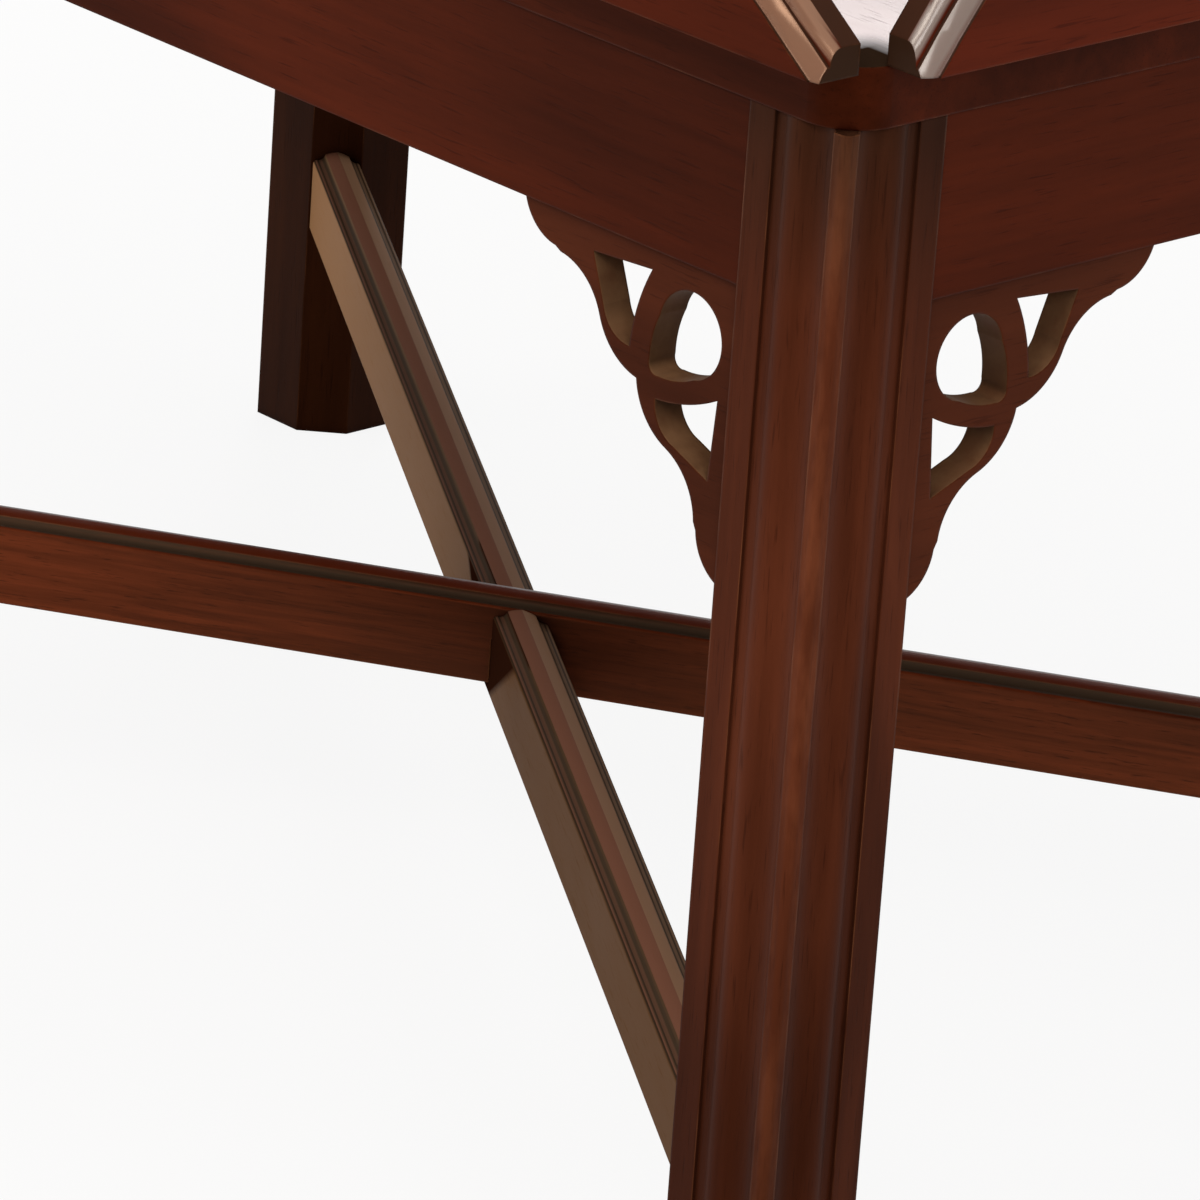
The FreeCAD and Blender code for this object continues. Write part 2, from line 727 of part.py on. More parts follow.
# Tray: a panel on the stand, kept in place by two battens between the aprons.
panel_top = s.stand_height + s.panel_thickness
panel_half_length = half_length + s.tray_overhang
panel_half_depth = half_depth + s.tray_overhang


def hinge_point(quarter):
    """The middle of the pin line on one side."""
    return side_point(quarter, 0, -s.tray_overhang, panel_top)


def hinge_offset(quarter):
    return s.long_hinge_offset if quarter % 2 == 0 else s.short_hinge_offset


def hinge_middles(quarter):
    offset = hinge_offset(quarter)
    return (("first", -offset), ("last", offset))


batten_reach = half_length - apron_inner - s.batten_clearance
batten_half_length = half_depth - s.leg_width - s.batten_clearance
batten_bottom = s.stand_height - s.batten_thickness
batten_screw_count = 4
batten_screw_pitch = (batten_half_length - s.batten_screw_margin) * 2 / (batten_screw_count - 1)
batten_screw_places = []
for end, batten_start in (("left", -batten_reach), ("right", batten_reach - s.batten_width)):
    screw_x = batten_start + s.batten_width / 2
    for count in range(batten_screw_count):
        screw_y = s.batten_screw_margin - batten_half_length + batten_screw_pitch * count
        batten_screw_places.append((f"batten_{end}_{count}", (screw_x, screw_y, batten_bottom)))
    blank = box(f"batten_{end}_blank", (batten_start, -batten_half_length, batten_bottom),
                s.batten_width, batten_half_length * 2, s.batten_thickness)
    own_places = batten_screw_places[-batten_screw_count:]
    holes = [batten_screw(label + "_hole", at, s.screw_clearance) for label, at in own_places]
    keep(cut("batten_" + end, blank, fuse(f"batten_{end}_holes", holes)))
batten_fixings = [batten_screw(label + "_screw", at, nothing) for label, at in batten_screw_places]
keep(group("batten_screws", batten_fixings))

panel_openings = [batten_screw(label + "_pilot", at, s.screw_clearance) for label, at in batten_screw_places]
for quarter, side in enumerate(side_names):
    recesses = []
    for end, middle in hinge_middles(quarter):
        recesses += leaf_recess(f"panel_{side}_{end}", middle, False)
    panel_openings.append(place(fuse(f"panel_{side}_recesses", recesses), hinge_point(quarter),
                                about_vertical(quarter)))
straight_x = panel_half_length - s.panel_corner_radius
straight_y = panel_half_depth - s.panel_corner_radius
panel_outline = [
    (-straight_x, -panel_half_depth),
    (straight_x, -panel_half_depth, s.panel_corner_radius, "left"),
    (panel_half_length, -straight_y),
    (panel_half_length, straight_y, s.panel_corner_radius, "left"),
    (straight_x, panel_half_depth),
    (-straight_x, panel_half_depth, s.panel_corner_radius, "left"),
    (-panel_half_length, straight_y),
    (-panel_half_length, -straight_y, s.panel_corner_radius, "left"),
]
panel_blank, panel_sketch = padded_body("panel_blank", [panel_outline], s.panel_thickness)
place(panel_blank, (0, 0, s.stand_height))
keep(cut("tray_panel", panel_blank, fuse("panel_openings", panel_openings)))


# Flaps: a circular segment with a moulding round the outer edge and a hand hole.
def flap_blank(kind, half_chord):
    """A flap drawn about the centre of its curved edge, with its inner face in the ground plane."""
    sagitta = s.flap_rise - s.flap_end_height
    rim = (half_chord * half_chord + sagitta * sagitta) / (sagitta * 2)
    foot = rim - s.flap_rise
    end_top = rim - sagitta
    outline = [
        (-half_chord, foot),
        (half_chord, foot),
        (half_chord, end_top, rim, "left"),
        (-half_chord, end_top),
    ]
    body, sketch = padded_body(f"{kind}_flap_blank", [outline], s.flap_thickness)
    face = s.flap_thickness
    bevel_inner = rim - s.moulding_face_width
    bevel_outer = bevel_inner + s.moulding_bevel_width
    bevel_bottom = face - s.moulding_bevel_depth
    round_top = bevel_bottom - s.moulding_quirk_depth
    outside = rim + s.cut_margin
    above = face + s.cut_margin
    moulding = [
        (bevel_inner, above),
        (bevel_inner, face - s.moulding_face_depth, s.moulding_bevel_radius, "right"),
        (bevel_outer, bevel_bottom),
        (bevel_outer, round_top, s.moulding_round_radius, "right"),
        (rim, round_top - s.moulding_round_radius),
        (outside, round_top - s.moulding_round_radius),
        (outside, above),
    ]
    profile = new_sketch(body, f"{kind}_flap_moulding", "XZ_Plane")
    draw_loop(profile, moulding)
    groove = body.newObject("PartDesign::Groove", f"{kind}_flap_groove")
    groove.Profile = profile
    groove.ReferenceAxis = (profile, ["V_Axis"])
    groove.Angle = 360
    body.Tip = groove
    return place(body, (0, 0, s.flap_gap - foot), stand_up)


def hand_hole(name):
    radius = s.hand_hole_height / 2
    half = s.hand_hole_length / 2 - radius
    depth = s.flap_thickness + s.cut_margin * 2
    start = -s.flap_thickness - s.cut_margin
    slot = box(name + "_slot", (-half, start, s.hand_hole_centre - radius), half * 2, depth, radius * 2)
    ends = [cylinder(f"{name}_{end}", (x, start, s.hand_hole_centre), radius, depth, lie_along_y)
            for end, x in (("first", -half), ("last", half))]
    return fuse(name, [slot] + ends)


long_blank = flap_blank("long", panel_half_length + s.long_flap_overrun)
short_blank = flap_blank("short", panel_half_depth - s.short_flap_setback)


def flap(quarter):
    side = side_names[quarter]
    turn = about_vertical(quarter)
    at = hinge_point(quarter)
    openings = [hand_hole(f"hand_hole_{side}")]
    base_leaves = []
    flap_leaves = []
    pins = []
    base_screws = []
    flap_screws = []
    for end, middle in hinge_middles(quarter):
        openings += leaf_recess(f"flap_{side}_{end}", middle, True)
        base_leaves.append(leaf(f"base_leaf_{side}_{end}", middle, base_knuckles, False))
        flap_leaves.append(leaf(f"flap_leaf_{side}_{end}", middle, flap_knuckles, True))
        pins.append(cylinder(f"pin_{side}_{end}", (middle - half_leaf, 0, 0), s.pin_radius, s.leaf_width,
                             lie_along_x))
        base_screws += leaf_screws(f"base_screw_{side}_{end}", middle, False, nothing)
        flap_screws += leaf_screws(f"flap_screw_{side}_{end}", middle, True, nothing)
    blank = long_blank if quarter % 2 == 0 else short_blank
    keep(place(cut("flap_" + side, blank, fuse(f"flap_{side}_openings", openings)), at, turn))
    keep(place(group("hinge_base_leaves_" + side, base_leaves), at, turn))
    keep(place(group("hinge_flap_leaves_" + side, flap_leaves), at, turn))
    keep(place(group("hinge_pins_" + side, pins), at, turn))
    keep(place(group("hinge_base_screws_" + side, base_screws), at, turn))
    keep(place(group("hinge_flap_screws_" + side, flap_screws), at, turn))


for quarter in range(4):
    flap(quarter)

doc.recompute()
faults = []
for item in doc.Objects:
    if "Invalid" in item.State or "Error" in item.State:
        faults.append(f"{item.Name}: {item.State}")
for node in nodes:
    if node.Shape.isNull() or not node.Shape.isValid():
        faults.append(f"{node.Name}: no valid shape")
if faults:
    raise RuntimeError("; ".join(faults))

os.makedirs("parts", exist_ok=True)
for node in nodes:
    node.Shape.exportStep(f"parts/{node.Label}.step")
    print(node.Label, len(node.Shape.Solids), round(node.Shape.Volume))
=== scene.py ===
import math

import bmesh
import bpy
from mathutils import Matrix, Vector

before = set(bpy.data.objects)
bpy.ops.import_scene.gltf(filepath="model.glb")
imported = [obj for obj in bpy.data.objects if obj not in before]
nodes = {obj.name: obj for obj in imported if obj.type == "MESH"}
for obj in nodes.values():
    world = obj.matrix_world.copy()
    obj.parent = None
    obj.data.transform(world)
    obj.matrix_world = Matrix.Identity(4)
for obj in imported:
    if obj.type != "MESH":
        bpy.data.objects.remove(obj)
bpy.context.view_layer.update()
print("frame loaded:", len(nodes), "pieces")


# camera: stands off the front right corner, looking down at the near leg
cameraSetup = {
    "place": (1.95204, -1.81537, 1.16513),
    "right": (0.66832, 0.74100, 0.06535),
    "up": (-0.31279, 0.20022, 0.92848),
    "back": (0.67491, -0.64096, 0.36559),
    "lens": 253.59,
    "sensor": 36.0,
    "clipStart": 0.05,
    "clipEnd": 100.0,
}


def addCamera(setup):
    data = bpy.data.cameras.new("photoCamera")
    data.lens = setup["lens"]
    data.sensor_width = setup["sensor"]
    data.clip_start = setup["clipStart"]
    data.clip_end = setup["clipEnd"]
    camera = bpy.data.objects.new("photoCamera", data)
    bpy.context.scene.collection.objects.link(camera)
    columns = [Vector(setup[key]).normalized() for key in ("right", "up", "back")]
    turn = Matrix(columns).transposed().to_4x4()
    camera.matrix_world = Matrix.Translation(Vector(setup["place"])) @ turn
    bpy.context.scene.camera = camera


addCamera(cameraSetup)


# small helpers for material nodes
def addNode(tree, kind, values=None, **settings):
    node = tree.nodes.new(kind)
    for key, value in settings.items():
        setattr(node, key, value)
    for key, value in (values or {}).items():
        node.inputs[key].default_value = value
    return node


# a socket takes a plain value or the output of another node
def feed(tree, socket, value):
    if isinstance(value, (int, float, tuple)):
        socket.default_value = value
    else:
        tree.links.new(value, socket)


def mathNode(tree, operation, first, second=None, clamp=False):
    node = addNode(tree, "ShaderNodeMath", operation=operation, use_clamp=clamp)
    feed(tree, node.inputs[0], first)
    if second is not None:
        feed(tree, node.inputs[1], second)
    return node.outputs[0]


def product(tree, first, second):
    return mathNode(tree, "MULTIPLY", first, second)


def total(tree, first, second):
    return mathNode(tree, "ADD", first, second)


def difference(tree, first, second, clamp=False):
    return mathNode(tree, "SUBTRACT", first, second, clamp)


def rampNode(tree, source, stops):
    node = addNode(tree, "ShaderNodeValToRGB")
    elements = node.color_ramp.elements
    while len(elements) < len(stops):
        elements.new(0.5)
    for element, (position, color) in zip(elements, stops):
        element.position = position
        element.color = color
    tree.links.new(source, node.inputs[0])
    return node.outputs[0]


def maskNode(tree, source, stops):
    return rampNode(tree, source, [(place, (level, level, level, 1.0)) for place, level in stops])


# the colour sockets of a mix node
mixSockets = {"factor": 0, "first": 6, "second": 7, "result": 2}


def mixColor(tree, factor, first, second, blend="MIX"):
    node = addNode(tree, "ShaderNodeMix", data_type="RGBA", blend_type=blend)
    for key, value in (("factor", factor), ("first", first), ("second", second)):
        feed(tree, node.inputs[mixSockets[key]], value)
    return node.outputs[mixSockets["result"]]


# a noise in the piece's own space, drawn out along the grain
def grainNoise(tree, turn, grain):
    coords = addNode(tree, "ShaderNodeTexCoord")
    align = addNode(tree, "ShaderNodeMapping", {"Rotation": turn}, vector_type="TEXTURE")
    tree.links.new(coords.outputs["Object"], align.inputs["Vector"])
    shift = grain.get("shift", (0.0, 0.0, 0.0))
    scale = addNode(tree, "ShaderNodeMapping", {"Scale": grain["stretch"], "Location": shift})
    tree.links.new(align.outputs[0], scale.inputs["Vector"])
    noise = addNode(tree, "ShaderNodeTexNoise", {"Scale": 1.0, "Detail": grain["detail"],
                                                 "Roughness": grain["roughness"],
                                                 "Distortion": grain.get("distortion", 0.0)})
    tree.links.new(scale.outputs[0], noise.inputs["Vector"])
    return noise.outputs["Fac"]


# how far the piece's Normal or Object vector goes along a direction
def alongDirection(tree, vector, direction):
    coords = addNode(tree, "ShaderNodeTexCoord")
    dot = addNode(tree, "ShaderNodeVectorMath", {1: direction}, operation="DOT_PRODUCT")
    tree.links.new(coords.outputs[vector], dot.inputs[0])
    return dot.outputs["Value"]


# how far a face looks along a direction, from -1 to 1
def facing(tree, direction):
    return alongDirection(tree, "Normal", direction)


# how far a point lies along a direction, in metres
def reaching(tree, direction):
    return alongDirection(tree, "Object", direction)


# how far a face looks away from the middle of the table, from -1 to 1
def facingOut(tree, shares):
    coords = addNode(tree, "ShaderNodeTexCoord")
    corner = addNode(tree, "ShaderNodeVectorMath", operation="SIGN")
    tree.links.new(coords.outputs["Object"], corner.inputs[0])
    outward = addNode(tree, "ShaderNodeVectorMath", {1: shares}, operation="MULTIPLY")
    tree.links.new(corner.outputs[0], outward.inputs[0])
    dot = addNode(tree, "ShaderNodeVectorMath", operation="DOT_PRODUCT")
    tree.links.new(outward.outputs[0], dot.inputs[0])
    tree.links.new(coords.outputs["Normal"], dot.inputs[1])
    return dot.outputs["Value"]


# studio: pale floor, soft light from above, a window behind, two soft boxes by the camera and a low fill
nearCorner = (0.4, -0.27, 0.47)
studioSetup = {
    "floorRadius": 40.0,
    "floorSegments": 64,
    "floorColor": (0.90, 0.89, 0.88, 1.0),
    "floorRoughness": 0.9,
    "floorSpecular": 0.1,
    "floorLift": 0.89,
    "paleColor": (1.0, 1.0, 1.0, 1.0),
    "worldColor": (1.0, 0.98, 0.96, 1.0),
    "worldStrength": 0.47,
    "backgroundStrength": 1.0,
}
skyLamp = {"aim": (-0.25, 0.40, -1.0), "spread": 70.0, "power": 0.9, "color": (1.0, 0.97, 0.93)}
softLamps = {
    "windowLamp": {"place": (-1.96, 1.97, 1.75), "aim": nearCorner, "size": (0.9, 0.7), "power": 14.0,
                   "color": (0.97, 0.98, 1.0)},
    "leftBoxLamp": {"place": (0.72, -2.04, 2.20), "aim": nearCorner, "size": (0.8, 0.8), "power": 13.0,
                    "color": (1.0, 0.93, 0.84)},
    "rightBoxLamp": {"place": (2.60, -1.77, 1.86), "aim": nearCorner, "size": (0.9, 0.9), "power": 18.0,
                     "color": (1.0, 0.98, 0.95)},
    "lowFillLamp": {"place": (-1.20, -2.40, 0.80), "aim": (0.0, 0.0, 0.10), "size": (1.2, 0.8), "power": 10.0,
                    "color": (1.0, 0.95, 0.88)},
}


def addLamp(name, kind, lamp):
    data = bpy.data.lights.new(name, kind)
    data.energy = lamp["power"]
    data.color = lamp["color"]
    item = bpy.data.objects.new(name, data)
    bpy.context.scene.collection.objects.link(item)
    aim = Vector(lamp["aim"])
    if kind == "SUN":
        data.angle = math.radians(lamp["spread"])
    else:
        data.shape = "RECTANGLE"
        data.size, data.size_y = lamp["size"]
        item.location = lamp["place"]
        aim = aim - Vector(lamp["place"])
    item.rotation_euler = aim.to_track_quat("-Z", "Y").to_euler()
    item.visible_camera = False


# 1 where the background is seen, mirrored or looked through to, 0 where it lights the table
def seenDirectly(tree):
    path = addNode(tree, "ShaderNodeLightPath")
    seen = mathNode(tree, "MAXIMUM", path.outputs["Is Camera Ray"], path.outputs["Is Transmission Ray"])
    return mathNode(tree, "MAXIMUM", seen, path.outputs["Is Glossy Ray"])


def mixShader(tree, factor, first, second):
    mix = addNode(tree, "ShaderNodeMixShader")
    for socket, source in zip(mix.inputs, (factor, first.outputs[0], second.outputs[0])):
        tree.links.new(source, socket)
    return mix.outputs[0]


def addFloor(setup):
    mesh = bpy.data.meshes.new("studioFloor")
    bm = bmesh.new()
    bmesh.ops.create_circle(bm, cap_ends=True, segments=setup["floorSegments"], radius=setup["floorRadius"])
    bm.to_mesh(mesh)
    bm.free()
    floor = bpy.data.objects.new("studioFloor", mesh)
    bpy.context.scene.collection.objects.link(floor)
    floorPaint = bpy.data.materials.new("floorPaint")
    floorPaint.use_nodes = True
    tree = floorPaint.node_tree
    shader = tree.nodes["Principled BSDF"]
    shader.inputs["Base Color"].default_value = setup["floorColor"]
    shader.inputs["Roughness"].default_value = setup["floorRoughness"]
    shader.inputs["Specular IOR Level"].default_value = setup["floorSpecular"]
    pale = addNode(tree, "ShaderNodeEmission", {"Color": setup["paleColor"]})
    lift = product(tree, seenDirectly(tree), setup["floorLift"])
    tree.links.new(mixShader(tree, lift, shader, pale), tree.nodes["Material Output"].inputs["Surface"])
    mesh.materials.append(floorPaint)


def addWorld(setup):
    world = bpy.data.worlds.new("studioWorld")
    world.use_nodes = True
    tree = world.node_tree
    light = tree.nodes["Background"]
    light.inputs["Color"].default_value = setup["worldColor"]
    light.inputs["Strength"].default_value = setup["worldStrength"]
    pale = addNode(tree, "ShaderNodeBackground", {"Color": setup["paleColor"],
                                                  "Strength": setup["backgroundStrength"]})
    lit = mixShader(tree, seenDirectly(tree), light, pale)
    tree.links.new(lit, tree.nodes["World Output"].inputs["Surface"])
    bpy.context.scene.world = world


addFloor(studioSetup)
addWorld(studioSetup)
addLamp("skyLamp", "SUN", skyLamp)
for lampName, lamp in softLamps.items():
    addLamp(lampName, "AREA", lamp)
bpy.context.scene.view_settings.view_transform = "Standard"
print("studio ready")


# directions of the table and the way the grain runs in a piece
axes = {"X": (1.0, 0.0, 0.0), "Y": (0.0, 1.0, 0.0), "Z": (0.0, 0.0, 1.0)}
quarter = math.pi / 2
runs = {
    "X": {"turn": (0.0, 0.0, 0.0), "along": axes["X"], "across": axes["Y"]},
    "Y": {"turn": (0.0, 0.0, quarter), "along": axes["Y"], "across": axes["X"]},
    "Z": {"turn": (0.0, quarter, 0.0), "along": axes["Z"]},
}


# the half length and half width that a piece reaches to
def halfSize(node):
    corners = nodes[node].bound_box
    return max(abs(corner[0]) for corner in corners), max(abs(corner[1]) for corner in corners)


# the stretchers run between the inner chamfers of the legs, which lie this far in from the outer faces
chamferInset = 0.031
stretcherReach = [half - chamferInset for half in halfSize("leg_front_right")]
stretcherAngle = math.atan2(stretcherReach[1], stretcherReach[0])


# the grain of a stretcher, with the heights of its foot and its ridge
def barRun(node, angle):
    heights = [corner[2] for corner in nodes[node].bound_box]
    return {
        "turn": (0.0, 0.0, angle),
        "along": (math.cos(angle), math.sin(angle), 0.0),
        "across": (-math.sin(angle), math.cos(angle), 0.0),
        "barHeights": (min(heights), max(heights)),
    }


# 1 in the four corners of the table, 0 elsewhere; the mask starts and is full at insets from a piece's reach
def cornerMask(tree, node, startInsets, fullInsets):
    masks = []
    for axis, half, startInset, fullInset in zip("XY", halfSize(node), startInsets, fullInsets):
        place = mathNode(tree, "ABSOLUTE", reaching(tree, axes[axis]))
        masks.append(maskNode(tree, place, [(half - startInset, 0.0), (half - fullInset, 1.0)]))
    return product(tree, masks[0], masks[1])


# polished mahogany: red brown, softly streaked, worn on the arrises, with painted shade and old polish
# darkening the hollows
white = (1.0, 1.0, 1.0, 1.0)
polish = {
    "dark": (0.026, 0.0046, 0.0016, 1.0),
    "middle": (0.048, 0.0080, 0.0026, 1.0),
    "light": (0.082, 0.0125, 0.0036, 1.0),
    "pore": (0.012, 0.0026, 0.0012, 1.0),
    "worn": (0.21, 0.075, 0.030, 1.0),
    # painted shade with old polish: the colour that closed-in hollows are multiplied by
    "hollowShadeAndGrime": (0.30, 0.30, 0.32, 1.0),
    "bands": {"stretch": (3.2, 15.0, 15.0), "detail": 3.0, "roughness": 0.5, "distortion": 0.6},
    "streaks": {"stretch": (9.0, 150.0, 150.0), "detail": 5.0, "roughness": 0.62, "distortion": 0.3},
    "pores": {"stretch": (70.0, 1300.0, 1300.0), "detail": 2.0, "roughness": 0.5},
    "poreMask": ((0.60, 0.0), (0.72, 1.0)),
    "streakShare": 0.34,
    "poreShare": 0.4,
    "toneSpread": 0.18,
    "arrisRadius": 0.0011,
    "arrisMask": ((0.02, 0.0), (0.22, 1.0)),
    "rubs": {"stretch": (28.0, 120.0, 120.0), "shift": (3.1, 1.7, 0.4), "detail": 3.0, "roughness": 0.6},
    "rubMask": ((0.46, 0.0), (0.64, 1.0)),
    "clearMask": ((0.75, 0.0), (0.95, 1.0)),
    "wear": 0.45,
    "hollowReach": 0.006,
    "hollowStops": (0.25, 0.8),
    "endMask": ((0.88, 0.0), (0.97, 1.0)),
    "endGrain": 0.5,
    "roughness": 0.34,
    "smears": {"stretch": (12.0, 40.0, 40.0), "shift": (0.7, 4.2, 2.2), "detail": 3.0, "roughness": 0.6},
    "smearSwing": 0.12,
    "poreRoughness": 0.1,
    "specular": 0.04,
    "specularTint": (1.0, 0.34, 0.16, 1.0),
    "relief": 0.10,
    "reliefDepth": 0.0006,
    "poreDepth": 0.5,
    "samples": 6,
}


def grainTone(tree, finish, streaks, poreMask):
    bands = grainNoise(tree, finish["turn"], finish["bands"])
    share = finish["streakShare"]
    tone = total(tree, product(tree, bands, 1.0 - share), product(tree, streaks, share))
    swing = finish["toneSpread"]
    color = rampNode(tree, tone, [(0.5 - swing, finish["dark"]), (0.5, finish["middle"]),
                                  (0.5 + swing, finish["light"])])
    return mixColor(tree, product(tree, poreMask, finish["poreShare"]), color, finish["pore"])


# old polish is smeared: duller in places and in the pores
def smearedGloss(tree, finish, poreMask):
    smears = grainNoise(tree, finish["turn"], finish["smears"])
    swing = finish["smearSwing"]
    gloss = total(tree, finish["roughness"] - swing / 2, product(tree, smears, swing))
    return total(tree, gloss, product(tree, poreMask, finish["poreRoughness"]))


# arrises are worn where they stand clear, broken up so that only stretches of an edge are rubbed
def wornEdge(tree, finish, rounded, openness):
    geometry = addNode(tree, "ShaderNodeNewGeometry")
    bend = addNode(tree, "ShaderNodeVectorMath", operation="DOT_PRODUCT")
    tree.links.new(rounded, bend.inputs[0])
    tree.links.new(geometry.outputs["True Normal"], bend.inputs[1])
    edge = maskNode(tree, difference(tree, 1.0, bend.outputs["Value"], clamp=True), finish["arrisMask"])
    rubbed = maskNode(tree, grainNoise(tree, finish["turn"], finish["rubs"]), finish["rubMask"])
    clear = maskNode(tree, openness, finish["clearMask"])
    return product(tree, product(tree, product(tree, edge, rubbed), clear), finish["wear"])


# end grain drinks in more polish
def darkenEnds(tree, look, finish):
    ends = maskNode(tree, mathNode(tree, "ABSOLUTE", facing(tree, finish["along"])), finish["endMask"])
    deep = mixColor(tree, 1.0, look["color"], (finish["endGrain"],) * 3 + (1.0,), "MULTIPLY")
    look["color"] = mixColor(tree, ends, look["color"], deep)


# a treatment, where a piece has one, changes the look that the plain polish gives
def mahogany(name, finish, treatment=None):
    material = bpy.data.materials.new(name)
    material.use_nodes = True
    tree = material.node_tree
    shader = tree.nodes["Principled BSDF"]
    streaks = grainNoise(tree, finish["turn"], finish["streaks"])
    poreMask = maskNode(tree, grainNoise(tree, finish["turn"], finish["pores"]), finish["poreMask"])
    look = {
        "color": grainTone(tree, finish, streaks, poreMask),
        "gloss": smearedGloss(tree, finish, poreMask),
        "shine": finish["specular"],
    }
    darkenEnds(tree, look, finish)
    if treatment is not None:
        treatment(tree, look, finish)

    # painted shade: hollows and joints are darkened where ambient occlusion finds them closed in, partly as
    # old polish held there
    hollow = addNode(tree, "ShaderNodeAmbientOcclusion", {"Distance": finish["hollowReach"]},
                     samples=finish["samples"])
    openness = hollow.outputs["AO"]
    shade = rampNode(tree, openness, list(zip(finish["hollowStops"], (finish["hollowShadeAndGrime"], white))))
    color = mixColor(tree, 1.0, look["color"], shade, "MULTIPLY")

    rounded = addNode(tree, "ShaderNodeBevel", {"Radius": finish["arrisRadius"]}, samples=finish["samples"])
    wear = wornEdge(tree, finish, rounded.outputs[0], openness)
    feed(tree, shader.inputs["Base Color"], mixColor(tree, wear, color, finish["worn"]))
    feed(tree, shader.inputs["Roughness"], look["gloss"])
    feed(tree, shader.inputs["Specular IOR Level"], look["shine"])
    feed(tree, shader.inputs["Specular Tint"], finish["specularTint"])
    bump = addNode(tree, "ShaderNodeBump", {"Strength": finish["relief"], "Distance": finish["reliefDepth"]})
    relief = difference(tree, streaks, product(tree, poreMask, finish["poreDepth"]))
    tree.links.new(relief, bump.inputs["Height"])
    tree.links.new(rounded.outputs[0], bump.inputs["Normal"])
    tree.links.new(bump.outputs[0], shader.inputs["Normal"])
    return material


def finishOf(run, *changes):
    finish = dict(polish)
    for change in (run,) + changes:
        finish.update(change)
    return finish


# brackets: edges cut with a fret saw are paler and duller than the planed faces, with painted light on them:
# lighter where a wall faces up, darker where it stands upright or faces down
fretFinish = {
    "dark": (0.036, 0.0082, 0.0032, 1.0),
    "middle": (0.056, 0.0128, 0.0050, 1.0),
    "light": (0.080, 0.0185, 0.0072, 1.0),
    "streakShare": 0.25,
    "sawn": (0.180, 0.092, 0.045, 1.0),
    # painted shade on sawn walls that stand upright or face down
    "sawnShaded": (0.080, 0.040, 0.019, 1.0),
    "sawnStops": (0.1, 0.8),
    "sawnMask": ((0.35, 1.0), (0.70, 0.0)),
    "sawMarks": {"stretch": (90.0, 90.0, 90.0), "shift": (1.3, 0.2, 2.7), "detail": 3.0, "roughness": 0.6},
    "markMask": ((0.30, 0.55), (0.65, 1.0)),
    "sawnRoughness": 0.2,
}


def paleSawnEdges(tree, look, finish):
    sawn = maskNode(tree, mathNode(tree, "ABSOLUTE", facing(tree, finish["across"])), finish["sawnMask"])
    marks = maskNode(tree, grainNoise(tree, finish["turn"], finish["sawMarks"]), finish["markMask"])
    # painted light on the sawn walls: lighter facing up, darker upright or facing down
    colors = list(zip(finish["sawnStops"], (finish["sawnShaded"], finish["sawn"])))
    sawnLitAndShaded = rampNode(tree, facing(tree, axes["Z"]), colors)
    look["color"] = mixColor(tree, product(tree, sawn, marks), look["color"], sawnLitAndShaded)
    look["gloss"] = total(tree, look["gloss"], product(tree, sawn, finish["sawnRoughness"]))


# flaps: the moulded rim is burnished and carries a painted highlight, cream on the long flaps and near white
# on the short ones, with a dark flat edge, and the inside is waxed
flapFinish = {
    "dark": (0.050, 0.0078, 0.0026, 1.0),
    "middle": (0.076, 0.0110, 0.0036, 1.0),
    "light": (0.110, 0.0150, 0.0046, 1.0),
    "specular": 0.03,
    "endGrain": 0.2,
    "relief": 0.012,
    "rimMask": ((0.10, 0.0), (0.24, 1.0), (0.90, 1.0), (0.98, 0.0)),
    "rimShare": 0.7,
    "rimRoughness": 0.23,
    "rimSpecular": 1.0,
    "rimEdge": (0.034, 0.016, 0.0085, 1.0),
    "rimEdgeMask": ((0.02, 0.8), (0.10, 0.0)),
    "insideMask": ((0.90, 0.0), (0.97, 1.0)),
    "insideSpecular": 0.30,
}
# painted highlight colours for the moulded rims, with the reflection tint to match
longFlapRimHighlight = {"specularTint": (1.0, 0.66, 0.46, 1.0), "rim": (0.170, 0.075, 0.040, 1.0)}
shortFlapRimHighlight = {"specularTint": (1.0, 0.96, 0.93, 1.0), "rim": (0.200, 0.150, 0.120, 1.0)}


def burnishAndHighlightRim(tree, look, finish):
    slope = mathNode(tree, "ABSOLUTE", facing(tree, finish["across"]))
    rim = maskNode(tree, slope, finish["rimMask"])
    edge = maskNode(tree, slope, finish["rimEdgeMask"])
    # painted highlight on the moulded rim
    look["color"] = mixColor(tree, product(tree, rim, finish["rimShare"]), look["color"], finish["rim"])
    look["color"] = mixColor(tree, edge, look["color"], finish["rimEdge"])
    flat = product(tree, look["gloss"], difference(tree, 1.0, rim))
    look["gloss"] = total(tree, flat, product(tree, rim, finish["rimRoughness"]))
    inward = product(tree, facingOut(tree, finish["across"]), -1.0)
    inside = maskNode(tree, inward, finish["insideMask"])
    burnished = product(tree, rim, finish["rimSpecular"] - finish["specular"])
    waxed = product(tree, inside, finish["insideSpecular"] - finish["specular"])
    look["shine"] = total(tree, total(tree, burnished, waxed), finish["specular"])


# tray: waxed on top, less in its corners, where the top is painted dark as shade between the flap ends
trayFinish = {
    "dark": (0.032, 0.0058, 0.0020, 1.0),
    "middle": (0.056, 0.0096, 0.0032, 1.0),
    "light": (0.092, 0.0145, 0.0042, 1.0),
    "endGrain": 0.95,
    "relief": 0.012,
    "topMask": ((0.90, 0.0), (0.97, 1.0)),
    "topSpecular": 0.36,
    "topSmoothing": 0.10,
    # painted shade on the top in the corners between the flap ends
    "corner": (0.030, 0.016, 0.009, 1.0),
    "cornerStart": (0.026, 0.032),
    "cornerFull": (0.017, 0.023),
}


